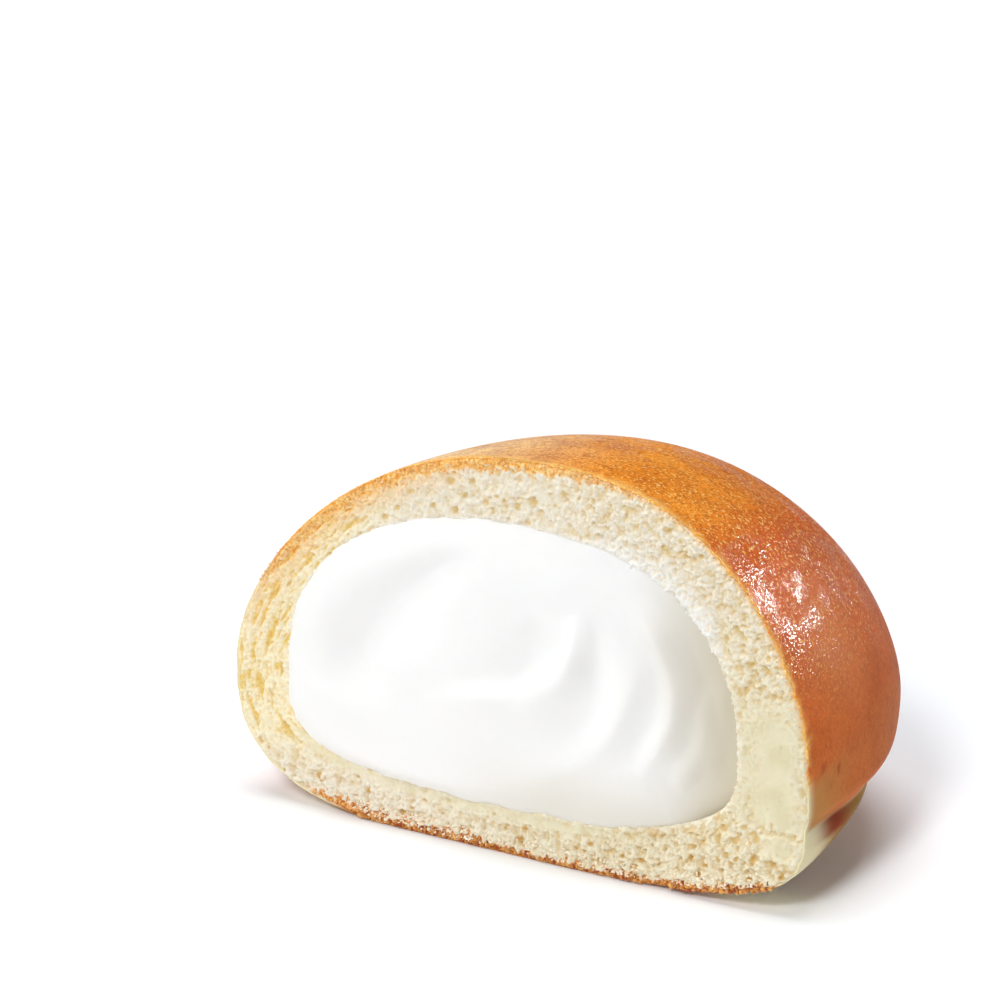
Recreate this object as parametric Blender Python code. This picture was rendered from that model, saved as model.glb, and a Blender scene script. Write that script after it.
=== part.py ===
"""A round milk bun cut a little past its middle, with the cream filling at the cut.

Metres, +Z up. X runs along the cut, the cut face looks towards -Y and the bun
reaches back along +Y. The finished part rests on z = 0 with the middle of its
bounding box over the origin.
"""
import math
from collections import namedtuple

import bmesh
import bpy
from mathutils import Vector, noise

MM = 0.001

# Bread, in millimetres: the crown is the highest point, at the cut
CROWN_X = 4.0
CROWN_Z = 56.0

# One side of the bun, seen from the crown's axis.
# reach: how far out the widest line is, belly: its height, rest: radius of the flat
# underside, shoulder and dome: squareness of the upper profile across and up,
# flank and foot: the same for the lower profile
Side = namedtuple("Side", "reach belly rest shoulder dome flank foot")
RIGHT = Side(reach=39.8, belly=23.8, rest=2.0, shoulder=2.4, dome=1.5, flank=1.8, foot=9.0)
LEFT = Side(reach=52.0, belly=20.2, rest=22.0, shoulder=2.1, dome=1.6, flank=2.6, foot=2.9)
BACK = Side(reach=55.7, belly=18.6, rest=34.0, shoulder=2.6, dome=1.6, flank=1.6, foot=2.0)
CORNER_SHARPNESS = 9.0

# Relief of the crust
LUMP_HEIGHT = 0.35
LUMP_SIZE = 24.0
LUMP_CENTRE_Z = 20.0
FOLD_Z = 12.9
FOLD_DEPTH = 1.2
FOLD_WIDTH = 1.1
FOLD_LIP = 0.35
UNDERSIDE_INSET = 0.6
FOLD_DEEPEST = math.radians(14)
FOLD_END = math.radians(80)

# Relief of the cut face
CRUMB_HEIGHT = 0.45
CRUMB_SIZE = 3.2

# Cream, in millimetres: its outline in the cut, its depth and its bulge.
# The four squareness values shape the outline's corners, the two edge values say how
# steeply the bulge rises from the outline
FILL_X = 0.0
FILL_Z = 19.5
FILL_RIGHT = 34.0
FILL_LEFT = 39.2
FILL_TOP = 27.4
FILL_BOTTOM = 13.1
FILL_DEPTH = 44.0
FILL_BACK_Z = 23.0
FILL_TAPER = 2.4
FILL_TOP_RIGHT = 2.45
FILL_TOP_LEFT = 2.28
FILL_LOW_RIGHT = 2.6
FILL_LOW_LEFT = 3.6
GAP = 0.3
BULGE = 3.8
EDGE_LEFT = 12.0
EDGE_RIGHT = 2.6

# Swirl left by the spatula: arcs round one centre, wider than high
SWIRL_X = -8.0
SWIRL_Z = 33.0
SWIRL_STRETCH = 1.27
Ridge = namedtuple("Ridge", "radius start end height")
RIDGES = (
    Ridge(radius=12.6, start=25, end=-115, height=1.6),
    Ridge(radius=20.4, start=5, end=-100, height=1.7),
    Ridge(radius=24.6, start=35, end=-45, height=1.5),
    Ridge(radius=28.2, start=5, end=-50, height=1.1),
    Ridge(radius=31.6, start=5, end=-45, height=0.9),
)
RIDGE_BACK = 5.0
RIDGE_FRONT = 1.7
RIDGE_FADE = 22.0
GROOVE_LEVEL = 0.83
GROOVE_WIDTH = 0.085
GROOVE_DEPTH = 1.7

# Mesh divisions
AROUND = 46
FOLD_ROWS = (-3.2, -2.2, -1.4, -0.7, 0.0, 0.7, 1.5, 2.5, 3.8)
BELOW_FOLD = 12
ABOVE_FOLD = 24
UP = BELOW_FOLD + len(FOLD_ROWS) - 1 + ABOVE_FOLD
REST_STEPS = 8
FACE_RINGS = 4
POCKET_RINGS = 8
FRONT_RINGS = 22


def smooth_step(low, high, value):
    """0 below low, 1 above high, with soft ends."""
    share = min(1.0, max(0.0, (value - low) / (high - low)))
    return share * share * (3.0 - 2.0 * share)


def bell(distance, width):
    """1 at distance 0, falling to nothing over a few widths."""
    return math.exp(-((distance / width) ** 2))


def side_blend(turn, sharpness=2.0):
    """The bun's side values in the direction turn: 0 right, 90 back, 180 left."""
    end = RIGHT if math.cos(turn) > 0 else LEFT
    share = abs(math.cos(turn)) ** 2
    corner = abs(math.cos(turn)) ** (sharpness if end is RIGHT else 2.0)
    values = {}
    for name in Side._fields:
        weight = corner if name in ("flank", "foot") else share
        values[name] = getattr(end, name) * weight + getattr(BACK, name) * (1.0 - weight)
    return Side(**values)


def profile_point(side, rise):
    """Radius and height of the bun's profile: rise 0 at the rest, 1 belly, 2 crown."""
    if rise < 1.0:
        angle = rise * math.pi / 2
        out = abs(math.sin(angle)) ** (2.0 / side.flank)
        up = 1.0 - abs(math.cos(angle)) ** (2.0 / side.foot)
        return side.rest + (side.reach - side.rest) * out, side.belly * up
    angle = (rise - 1.0) * math.pi / 2
    out = max(0.0, math.cos(angle)) ** (2.0 / side.shoulder)
    up = math.sin(angle) ** (2.0 / side.dome)
    return side.reach * out, side.belly + (CROWN_Z - side.belly) * up


def rise_at(side, height):
    """The rise at which the lower profile reaches a height."""
    up = (1.0 - height / side.belly) ** (side.foot / 2.0)
    return math.acos(up) * 2.0 / math.pi


def even_profile(side, first, last, steps):
    """Points evenly spaced along the profile from one rise to another, both included."""
    fine = [profile_point(side, first + (last - first) * i / 300) for i in range(301)]
    travelled = [0.0]
    for (r0, z0), (r1, z1) in zip(fine, fine[1:]):
        travelled.append(travelled[-1] + math.hypot(r1 - r0, z1 - z0))
    points = []
    index = 0
    for step in range(steps + 1):
        wanted = travelled[-1] * step / steps
        while index < 299 and travelled[index + 1] < wanted:
            index += 1
        share = (wanted - travelled[index]) / (travelled[index + 1] - travelled[index])
        (r0, z0), (r1, z1) = fine[index], fine[index + 1]
        points.append((r0 + (r1 - r0) * share, z0 + (z1 - z0) * share))
    return points


def bun_profile(side):
    """The whole profile, with rows at fixed heights through the fold."""
    fold = [rise_at(side, FOLD_Z + step) for step in FOLD_ROWS]
    below = even_profile(side, 0.0, fold[0], BELOW_FOLD)
    above = even_profile(side, fold[-1], 2.0, ABOVE_FOLD)
    return below + [profile_point(side, rise) for rise in fold[1:-1]] + above


def fold_offset(turn, height):
    """How far the crust moves out at the fold low on the right side."""
    fade = 1.0 - smooth_step(0.45 * FOLD_END, FOLD_END, turn)
    fade *= 0.2 + 0.8 * smooth_step(0.0, FOLD_DEEPEST, turn)
    crease = -FOLD_DEPTH * bell(height - FOLD_Z, FOLD_WIDTH)
    lip = FOLD_LIP * bell(height - FOLD_Z - 2.6, 1.7)
    underside = -UNDERSIDE_INSET * (1.0 - smooth_step(FOLD_Z - 1.0, FOLD_Z, height))
    underside *= smooth_step(1.0, 6.0, height)
    return fade * (crease + lip + underside)


def lump(point):
    """Gentle unevenness of the crust, away from the bun's middle; none on the rest."""
    outward = (point - Vector((CROWN_X, 0.0, LUMP_CENTRE_Z))).normalized()
    size = noise.noise(point / LUMP_SIZE) * LUMP_HEIGHT
    return outward * size * smooth_step(0.0, 8.0, point.z)


def bun_surface():
    """Rows of points on the crust, one row for each direction from right to left."""
    rows = []
    for i in range(AROUND + 1):
        turn = math.pi * i / AROUND
        side = side_blend(turn, CORNER_SHARPNESS)
        row = []
        for j, (radius, height) in enumerate(bun_profile(side)):
            if 0 < j < UP:
                radius += fold_offset(turn, height)
            direction = Vector((math.cos(turn), math.sin(turn), 0.0))
            point = Vector((CROWN_X, 0.0, height)) + direction * radius
            point += lump(point)
            if i in (0, AROUND):
                point.y = 0.0
            row.append(point)
        rows.append(row)
    return rows


def fill_quarter(across, up, shrink=0.0):
    """Reach, rise and squareness of the outline's quarter that across and up point to."""
    if up > 0:
        squareness = FILL_TOP_RIGHT if across > 0 else FILL_TOP_LEFT
    else:
        squareness = FILL_LOW_RIGHT if across > 0 else FILL_LOW_LEFT
    reach = FILL_RIGHT if across > 0 else FILL_LEFT
    rise = FILL_TOP if up > 0 else FILL_BOTTOM
    return reach - shrink, rise - shrink, squareness


def fill_level(x, z):
    """0 in the middle of the cream's face, 1 on its outline."""
    reach, rise, squareness = fill_quarter(x - FILL_X, z - FILL_Z, GAP)
    across = abs(x - FILL_X) / reach
    up = abs(z - FILL_Z) / rise
    return (across ** squareness + up ** squareness) ** (1.0 / squareness)


def fill_outline(angle, shrink=0.0):
    """The cream's outline in the cut plane as x and z, angle measured from the right."""
    across = math.cos(angle)
    up = math.sin(angle)
    reach, rise, squareness = fill_quarter(across, up, shrink)
    x = reach * math.copysign(abs(across) ** (2.0 / squareness), across)
    z = rise * math.copysign(abs(up) ** (2.0 / squareness), up)
    return FILL_X + x, FILL_Z + z


def outline_towards(target, shrink):
    """The outline point that lies in the target's direction from the filling's middle."""
    wanted = math.atan2(target.z - FILL_Z, target.x - FILL_X)
    low, high = wanted - 1.2, wanted + 1.2
    for _ in range(40):
        middle = (low + high) / 2
        x, z = fill_outline(middle, shrink)
        found = math.atan2(z - FILL_Z, x - FILL_X)
        turned = (found - wanted + math.pi) % (2 * math.pi) - math.pi
        if turned < 0:
            low = middle
        else:
            high = middle
    x, z = fill_outline((low + high) / 2, shrink)
    return Vector((x, 0.0, z))


def fill_section(rim, share, shrink):
    """A rim point moved back into the bread: share 0 at the cut, 1 at the deepest point."""
    angle = share * math.pi / 2
    size = max(0.0, math.cos(angle)) ** (2.0 / FILL_TAPER)
    depth = (FILL_DEPTH - shrink) * math.sin(angle) ** (2.0 / FILL_TAPER)
    centre_z = FILL_Z + (FILL_BACK_Z - FILL_Z) * depth / FILL_DEPTH
    x = FILL_X + (rim.x - FILL_X) * size
    z = centre_z + (rim.z - FILL_Z) * size
    return Vector((x, depth, z))


def ridge_height(x, z):
    """Height of the spatula's arcs at a place on the cream's face."""
    across = (x - SWIRL_X) / SWIRL_STRETCH
    up = z - SWIRL_Z
    radius = math.hypot(across, up)
    angle = math.degrees(math.atan2(up, across))
    total = 0.0
    for ridge in RIDGES:
        along = smooth_step(ridge.end - RIDGE_FADE, ridge.end + RIDGE_FADE, angle)
        along *= 1.0 - smooth_step(ridge.start - RIDGE_FADE, ridge.start + RIDGE_FADE, angle)
        past = radius - ridge.radius
        width = RIDGE_FRONT if past > 0 else RIDGE_BACK
        total += ridge.height * along * bell(past, width)
    return total


def bulge(x, z):
    """How far the cream stands out of the cut at a place on its face."""
    level = fill_level(x, z)
    rightness = smooth_step(-15.0, 25.0, x)
    steepness = EDGE_LEFT + (EDGE_RIGHT - EDGE_LEFT) * rightness
    height = BULGE * (1.0 - min(1.0, level) ** steepness)
    direction = math.degrees(math.atan2(z - FILL_Z, x - FILL_X)) % 360
    groove = GROOVE_DEPTH * bell(level - GROOVE_LEVEL, GROOVE_WIDTH)
    groove *= smooth_step(75, 110, direction) * (1.0 - smooth_step(165, 195, direction))
    inside = 1.0 - smooth_step(0.82, 1.0, level)
    return height + ridge_height(x, z) * inside - groove * (1.0 - smooth_step(0.9, 1.0, level))


def add_rows(bm, first, second):
    """Quads between two rows of vertices of the same length."""
    for a, b, c, d in zip(first, first[1:], second[1:], second):
        corners = [v for i, v in enumerate((a, b, c, d)) if v not in (a, b, c, d)[:i]]
        if len(corners) > 2:
            bm.faces.new(corners)


def vertex_row(bm, points):
    return [bm.verts.new(point) for point in points]


def cut_loop(rows):
    """The bun's outline in the cut: up the right side, down the left, back along the rest."""
    right = rows[0]
    left = rows[-1]
    start, end = left[0], right[0]
    rest = [start.lerp(end, i / REST_STEPS) for i in range(1, REST_STEPS)]
    return right + left[-2::-1] + rest


def crumb_point(outer, inner, share):
    """A point of the uneven cut face between the crust and the pocket."""
    point = outer.lerp(inner, share)
    bumps = noise.fractal(point / CRUMB_SIZE, 0.6, 2.0, 3)
    point.y += CRUMB_HEIGHT * bumps * math.sin(math.pi * share)
    return point


def bread_mesh(bm):
    """One closed skin: crust, rest, cut face and the pocket for the cream."""
    rows = bun_surface()
    crown = bm.verts.new(rows[0][-1])
    grid = [vertex_row(bm, row[:-1]) + [crown] for row in rows]
    for first, second in zip(grid, grid[1:]):
        add_rows(bm, first, second)
    loop = cut_loop(rows)
    rest = vertex_row(bm, loop[-(REST_STEPS - 1):])
    bm.faces.new([row[0] for row in grid] + rest)
    outer = grid[0] + grid[-1][-2::-1] + rest
    inner = [outline_towards(point, 0.0) for point in loop]
    for ring in range(1, FACE_RINGS + 1):
        share = ring / FACE_RINGS
        points = [crumb_point(o, i, share) for o, i in zip(loop, inner)]
        row = vertex_row(bm, points)
        add_rows(bm, outer + outer[:1], row + row[:1])
        outer = row
    for ring in range(1, POCKET_RINGS):
        share = ring / POCKET_RINGS
        row = vertex_row(bm, [fill_section(point, share, 0.0) for point in inner])
        add_rows(bm, outer + outer[:1], row + row[:1])
        outer = row
    close_with_pole(bm, outer, fill_section(inner[0], 1.0, 0.0))


def close_with_pole(bm, ring, place):
    """A fan of triangles from a ring to one vertex."""
    pole = bm.verts.new(place)
    for a, b in zip(ring, ring[1:] + ring[:1]):
        bm.faces.new((a, b, pole))


def cream_mesh(bm):
    """The filling: its body in the pocket and its swirled face."""
    count = 2 * (UP + 1) + REST_STEPS - 2
    rim = []
    for i in range(count):
        x, z = fill_outline(2 * math.pi * i / count, GAP)
        rim.append(Vector((x, 0.0, z)))
    edge = vertex_row(bm, rim)
    outer = edge
    for ring in range(1, POCKET_RINGS):
        share = ring / POCKET_RINGS
        row = vertex_row(bm, [fill_section(point, share, GAP) for point in rim])
        add_rows(bm, outer + outer[:1], row + row[:1])
        outer = row
    close_with_pole(bm, outer, fill_section(rim[0], 1.0, GAP))
    middle = Vector((SWIRL_X, 0.0, SWIRL_Z))
    outer = edge
    for ring in range(1, FRONT_RINGS):
        inward = (ring / FRONT_RINGS) ** 1.15
        row = []
        for point in rim:
            place = point.lerp(middle, inward)
            place.y = -bulge(place.x, place.z)
            row.append(place)
        row = vertex_row(bm, row)
        add_rows(bm, outer + outer[:1], row + row[:1])
        outer = row
    middle.y = -bulge(middle.x, middle.z)
    close_with_pole(bm, outer, middle)


def make_object(name, build_mesh):
    """A smooth-shaded object from a function that fills a bmesh in millimetres."""
    bm = bmesh.new()
    build_mesh(bm)
    bmesh.ops.recalc_face_normals(bm, faces=bm.faces)
    bmesh.ops.scale(bm, vec=(MM, MM, MM), verts=bm.verts)
    mesh = bpy.data.meshes.new(name)
    bm.to_mesh(mesh)
    bm.free()
    mesh.shade_smooth()
    obj = bpy.data.objects.new(name, mesh)
    bpy.context.collection.objects.link(obj)
    return obj


def make_material(name, colour, roughness):
    """A plain opaque material."""
    material = bpy.data.materials.new(name)
    material.use_nodes = True
    shader = material.node_tree.nodes["Principled BSDF"]
    shader.inputs["Base Color"].default_value = (*colour, 1.0)
    shader.inputs["Roughness"].default_value = roughness
    shader.inputs["Metallic"].default_value = 0.0
    return material


def make_bread():
    bread = make_object("bread", bread_mesh)
    bread.data.materials.append(make_material("bread", (0.56, 0.24, 0.07), 0.5))
    return bread


def make_cream():
    cream = make_object("cream", cream_mesh)
    cream.data.materials.append(make_material("cream", (0.92, 0.90, 0.86), 0.45))
    return cream


def centre_over_origin(objects):
    """Move the meshes so that their common box stands centred over the origin."""
    points = [vertex.co for obj in objects for vertex in obj.data.vertices]
    low = Vector(tuple(min(p[i] for p in points) for i in range(3)))
    high = Vector(tuple(max(p[i] for p in points) for i in range(3)))
    shift = Vector(((low.x + high.x) / 2, (low.y + high.y) / 2, low.z))
    for obj in objects:
        for vertex in obj.data.vertices:
            vertex.co -= shift
        obj.data.update()


def main():
    for obj in list(bpy.data.objects):
        bpy.data.objects.remove(obj, do_unlink=True)
    centre_over_origin([make_bread(), make_cream()])


main()
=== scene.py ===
# %% [markdown]
# # A cut bun filled with whipped cream
# The object is half of a soft round milk bun. It was baked with a thin brown crust,
# filled with whipped cream and cut a little past its middle. The cut shows three
# things side by side: the crust as a thin line, the open crumb, and the cream, which
# a spatula smoothed into a swirl. This lesson builds each of them as its own piece.
#
# The measured solids come first. They are the frame: every piece below is placed on
# them, in metres, with the cut face looking towards -Y and Z up.

import math
import random

import bpy
import numpy as np
from mathutils import Matrix, Vector, kdtree, noise


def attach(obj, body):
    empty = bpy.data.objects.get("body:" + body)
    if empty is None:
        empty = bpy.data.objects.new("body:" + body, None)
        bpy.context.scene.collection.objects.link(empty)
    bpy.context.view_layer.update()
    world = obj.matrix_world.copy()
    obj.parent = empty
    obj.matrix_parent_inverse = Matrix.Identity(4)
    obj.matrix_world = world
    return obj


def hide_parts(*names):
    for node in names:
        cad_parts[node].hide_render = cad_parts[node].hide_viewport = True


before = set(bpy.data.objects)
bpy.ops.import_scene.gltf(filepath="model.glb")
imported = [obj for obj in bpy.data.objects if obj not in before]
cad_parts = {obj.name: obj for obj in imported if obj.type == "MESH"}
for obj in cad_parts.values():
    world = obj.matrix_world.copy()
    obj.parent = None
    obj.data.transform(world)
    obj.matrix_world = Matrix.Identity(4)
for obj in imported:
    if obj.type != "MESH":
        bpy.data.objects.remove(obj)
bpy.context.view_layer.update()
print("solids:", sorted(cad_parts))

# %% [markdown]
# All sizes below are in millimetres, because that is how one thinks about a bun. The
# zero of these sizes is a point on the cut, on the table, 4 mm to the left of the
# crown. The crown is the highest point of the bread and lies in the cut, so it is
# easy to find again in the loaded solid.

# %% Measure where the cut lies
MM = 0.001
CROWN_X = 4.0
bread_points = np.array([v.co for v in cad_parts["bread"].data.vertices])
crown = bread_points[bread_points[:, 2].argmax()]
ZERO = np.array([crown[0] - CROWN_X * MM, crown[1], 0.0])


def to_metres(points):
    """Sizes in millimetres from the zero point become places in the scene."""
    return np.asarray(points, float) * MM + ZERO


def to_mm(points):
    """Places in the scene become millimetres from the zero point."""
    return (np.asarray(points, float) - ZERO) / MM


print("crown in mm:", to_mm(crown).round(2), "cut at y =", round(crown[1] * 1000, 2), "mm")

# %% [markdown]
# The photograph was taken with a long lens from the right of the cut, a little above
# the table. A long lens makes lines that run away stay nearly parallel, which is what
# the bun's outline shows. The camera's turn and tilt were fitted to that outline; here
# they are only placed.

# %% Place the camera
TURN = math.radians(34.0)
TILT = math.radians(17.6)
DISTANCE = 900.0
PIXELS_PER_MM = 7.5
FRAME = 1000  # the photograph's width and height in pixels
SENSOR = 36.0
AIM = np.array([0.0, 0.0, 25.0])
AIM_PIXEL = (526.7, 682.6)  # where the aim falls in the photograph's frame
focal_pixels = PIXELS_PER_MM * DISTANCE
back = np.array([math.sin(TURN) * math.cos(TILT), -math.cos(TURN) * math.cos(TILT), math.sin(TILT)])
right = np.array([math.cos(TURN), math.sin(TURN), 0.0])
up = np.cross(back, right)
eye = AIM + back * DISTANCE
eye = eye - right * (AIM_PIXEL[0] - FRAME / 2) / focal_pixels * DISTANCE
eye = eye - up * (FRAME / 2 - AIM_PIXEL[1]) / focal_pixels * DISTANCE

bpy.ops.object.camera_add()
camera = bpy.context.object
camera.name = "camera"
camera.data.sensor_width = SENSOR
camera.data.lens = SENSOR * focal_pixels / FRAME
camera.data.clip_end = 20.0
camera.matrix_world = Matrix.Translation(to_metres(eye)) @ Matrix(
    np.array([right, up, back]).T.tolist()).to_4x4()
bpy.context.scene.camera = camera
print("camera at", [round(v, 3) for v in camera.location], "lens", round(camera.data.lens), "mm")

# %% [markdown]
# The photograph is a studio picture on white. The bun's shadow lies almost hidden
# behind it and shows as a soft band on the right, so the main lamp stands in front of
# the cut, turned towards the camera, at half height. A wide lamp overhead makes the
# table white. A low one on the left shapes the cream; it casts no shadow, because it
# stands for light that comes back from a whole wall. The lamps are suns with wide
# discs, so that a shadow's edge is equally soft everywhere, and shiny surfaces don't
# mirror them. Those mirror a panel behind the bun instead, which gives the crust its
# broken shine. The picture is shown without a film curve, so that white stays white.

# %% Light the table
scene = bpy.context.scene
scene.view_settings.view_transform = "Standard"
world = bpy.data.worlds.new("studio")
scene.world = world
world.use_nodes = True
sky = world.node_tree.nodes["Background"]
sky.inputs["Color"].default_value = (0.86, 0.97, 1.12, 1.0)  # cool, against the bun's warm glow
sky.inputs["Strength"].default_value = 0.13


def point_lamp(lamp, place, target):
    """Stand a lamp at a place, both in mm, and turn it to its target."""
    start = Vector(to_metres(place))
    turned = (Vector(to_metres(target)) - start).to_track_quat("-Z", "Y")
    lamp.matrix_world = Matrix.Translation(start) @ turned.to_matrix().to_4x4()


SUNS = (  # name, strength, width in degrees, place in mm, whether it casts a shadow
    ("front lamp", 1.52, 14, (175, -730, 650), True),
    ("top lamp", 1.74, 38, (-40, 10, 1000), True),
    ("left lamp", 0.89, 30, (-763, -327, 348), False),
)
BUN_MIDDLE = (0, 0, 20)
SHINE_SPOT = (35, 8, 42)  # high on the crust's right, where the egg wash lies thickest
for name, strength, width, place, shadow in SUNS:
    bpy.ops.object.light_add(type="SUN")
    lamp = bpy.context.object
    lamp.name = name
    lamp.data.energy = strength
    lamp.data.angle = math.radians(width)
    lamp.data.color = (0.97, 0.99, 1.015)
    lamp.data.use_shadow = shadow
    lamp.visible_glossy = False
    point_lamp(lamp, place, BUN_MIDDLE)

bpy.ops.object.light_add(type="AREA")
shine_panel = bpy.context.object
shine_panel.name = "shine panel"
shine_panel.data.shape = "RECTANGLE"
shine_panel.data.size = 0.06
shine_panel.data.size_y = 0.16
shine_panel.data.energy = 3.1
shine_panel.visible_camera = False
shine_panel.visible_diffuse = False
point_lamp(shine_panel, (250, 524, 260), SHINE_SPOT)

bpy.ops.mesh.primitive_plane_add(size=8.0, location=(0, 0, 0))
table = bpy.context.object
table.name = "table"

# %% [markdown]
# Materials are graphs of nodes. One helper turns a colour as a painter writes it (hex,
# sRGB) into the linear numbers that the renderer works with, and one adds a node, fills
# its fields and joins it to what feeds it. Baked colours lie over each other, as coats
# do, so one lays them on, and the last covers a piece. The table is matt white paper:
# nearly all the light that falls on it comes back evenly, with hardly any shine.

# %% Helpers for materials
def linear(code):
    """A hex colour as linear red, green, blue and 1."""
    shares = [int(code[i:i + 2], 16) / 255 for i in (0, 2, 4)]
    return (*[s / 12.92 if s <= 0.04045 else ((s + 0.055) / 1.055) ** 2.4 for s in shares], 1.0)


def feed(material, node, sockets):
    """Give a node's sockets a number, a colour or another node's output each.

    A socket is named, or given as s and its number where two share a name.
    """
    for name, value in sockets.items():
        place = int(name[1:]) if name[0] == "s" and name[1:].isdigit() else name.replace("_", " ")
        if isinstance(value, bpy.types.NodeSocket):
            material.node_tree.links.new(value, node.inputs[place])
        else:
            node.inputs[place].default_value = value


def add_node(material, kind, fields=None, **sockets):
    """Add a node with its settings and with what feeds it."""
    made = material.node_tree.nodes.new(kind)
    for name, value in (fields or {}).items():
        setattr(made, name, value)
    feed(material, made, sockets)
    return made


def new_material(name, shown):
    """A material with only its shader, and its colour in the plain viewport."""
    material = bpy.data.materials.new(name)
    material.use_nodes = True
    material.diffuse_color = linear(shown)
    return material


def paint(material, ground, coats):
    """Lay coats of colour over a ground and give back what shows.

    A coat is its colour and how much of it shows. A colour is a hex code or another
    node's output; how much shows is an output or the name of a number on the vertices.
    """
    for colour, share in coats:
        if isinstance(share, str):
            stored = add_node(material, "ShaderNodeAttribute", {"attribute_name": share})
            share = stored.outputs["Fac"]
        below, above = [linear(c) if isinstance(c, str) else c for c in (ground, colour)]
        made = add_node(material, "ShaderNodeMix", {"data_type": "RGBA"}, s0=share, s6=below, s7=above)
        ground = made.outputs[2]
    return ground


def cover(obj, material, **sockets):
    """Set the shader's own sockets and put the material on obj."""
    feed(material, material.node_tree.nodes["Principled BSDF"], sockets)
    obj.data.materials.append(material)
    print(obj.name, "is covered with", material.name, "of", len(material.node_tree.nodes), "nodes")


paper = new_material("matt white paper", "F4F4F4")
cover(table, paper, Base_Color=linear("FFFFFF"), Roughness=0.9, Specular_IOR_Level=0.2)

# %% [markdown]
# The pieces start from copies of the measured solids, so that they fit. A loaded solid
# is a skin of loose triangles. Its copy is first sewn together, then its triangles are
# joined in pairs into four-sided faces, which a subdivision surface rounds evenly.

# %% Helpers for meshes
def only(obj):
    """Make obj the one selected and active object."""
    bpy.ops.object.select_all(action="DESELECT")
    obj.select_set(True)
    bpy.context.view_layer.objects.active = obj


def pick(obj, chosen):
    """Enter edit mode on obj with just the chosen vertices selected."""
    only(obj)
    mesh = obj.data
    mesh.polygons.foreach_set("select", np.zeros(len(mesh.polygons), bool))
    mesh.edges.foreach_set("select", np.zeros(len(mesh.edges), bool))
    mesh.vertices.foreach_set("select", np.asarray(chosen, bool))
    bpy.ops.object.mode_set(mode="EDIT")
    bpy.ops.mesh.select_mode(type="VERT")


def leave():
    """Go back to object mode, which writes the edit into the mesh."""
    bpy.ops.object.mode_set(mode="OBJECT")


def places(obj):
    """All vertices of obj in mm, one row each."""
    flat = np.empty(len(obj.data.vertices) * 3)
    obj.data.vertices.foreach_get("co", flat)
    return to_mm(flat.reshape(-1, 3))


def set_places(obj, points):
    """Move all vertices of obj to places in mm."""
    obj.data.vertices.foreach_set("co", to_metres(points).ravel())
    obj.data.update()


def sewn_copy(node, name):
    """A copy of a solid as one skin of mostly four-sided faces."""
    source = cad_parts[node]
    copy = bpy.data.objects.new(name, source.data.copy())
    bpy.context.collection.objects.link(copy)
    copy.data.materials.clear()
    pick(copy, np.ones(len(copy.data.vertices)))
    bpy.ops.mesh.remove_doubles(threshold=1e-6)
    bpy.ops.mesh.tris_convert_to_quads(face_threshold=math.radians(50), shape_threshold=math.radians(60))
    leave()
    return copy


def open_loops(mesh):
    """The loops of open edges, each a list of vertices in order, longest first."""
    edge_of_corner = np.empty(len(mesh.loops), int)
    mesh.loops.foreach_get("edge_index", edge_of_corner)
    uses = np.bincount(edge_of_corner, minlength=len(mesh.edges))
    neighbours = {}
    for index in np.flatnonzero(uses == 1):
        a, b = mesh.edges[int(index)].vertices
        neighbours.setdefault(a, []).append(b)
        neighbours.setdefault(b, []).append(a)
    loops = []
    while neighbours:
        start = next(iter(neighbours))
        loop = [start]
        step = neighbours.pop(start)[0]
        while step != start:
            loop.append(step)
            ahead = [v for v in neighbours.pop(step) if v in neighbours or v == start]
            step = ahead[0] if len(ahead) == 1 or ahead[0] != start else ahead[1]
        loops.append(loop)
    return sorted(loops, key=len, reverse=True)


print("faces of the solids:", {name: len(o.data.polygons) for name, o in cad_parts.items()})

# %% [markdown]
# ## The crust
# The crust is the skin of the bread. It is half a millimetre thick and shows at the
# cut as a thin orange line with a ragged inner edge. The copy of the bread loses its
# flat cut face, gets smooth, and is then closed again in a different way: its edge is
# extruded inwards in small steps, which makes the lip, then back behind the crumb, and
# bridged to the pocket that holds the cream.

# %% Copy the bread and take its cut face off
crust = sewn_copy("bread", "crust")
mesh = crust.data
normals = np.array([p.normal for p in mesh.polygons])
centres = to_mm([p.center for p in mesh.polygons])
in_cut = (np.abs(centres[:, 1]) < 0.6) & (normals[:, 1] < -0.6)
only(crust)
mesh.vertices.foreach_set("select", np.zeros(len(mesh.vertices), bool))
mesh.edges.foreach_set("select", np.zeros(len(mesh.edges), bool))
mesh.polygons.foreach_set("select", in_cut)
bpy.ops.object.mode_set(mode="EDIT")
bpy.ops.mesh.select_mode(type="FACE")
bpy.ops.mesh.delete(type="FACE")
leave()
print("cut face removed:", int(in_cut.sum()), "faces; open loops:",
      [len(loop) for loop in open_loops(mesh)])

# %% [markdown]
# The underside is flat with a clear edge, so that edge is creased before the surface
# is subdivided twice. Two levels bring the faces to about half a millimetre, fine
# enough for a soft outline and for a ragged lip.

# %% Round the crust
points = places(crust)
on_table = points[:, 2] < 0.05
edge_ends = np.array([e.vertices for e in mesh.edges])
creased = on_table[edge_ends].all(axis=1)
crease = mesh.attributes.new("crease_edge", "FLOAT", "EDGE")
crease.data.foreach_set("value", creased.astype(np.float32) * 0.9)
only(crust)
rounding = crust.modifiers.new("rounding", "SUBSURF")
rounding.levels = 2
rounding.render_levels = 2
bpy.ops.object.modifier_apply(modifier=rounding.name)
print("crust:", len(mesh.polygons), "faces")

# %% [markdown]
# Nothing on a bun is even, so most shapes and colours below are written as soft steps,
# bells and noise over the surface. These few helpers make them, and the last one
# stores a result on the vertices, where a material can read it.

# %% Helpers for soft shapes
def smooth_step(low, high, value):
    """0 below low, 1 above high, and a smooth rise between them."""
    share = np.clip((value - low) / (high - low), 0.0, 1.0)
    return share * share * (3.0 - 2.0 * share)


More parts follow.
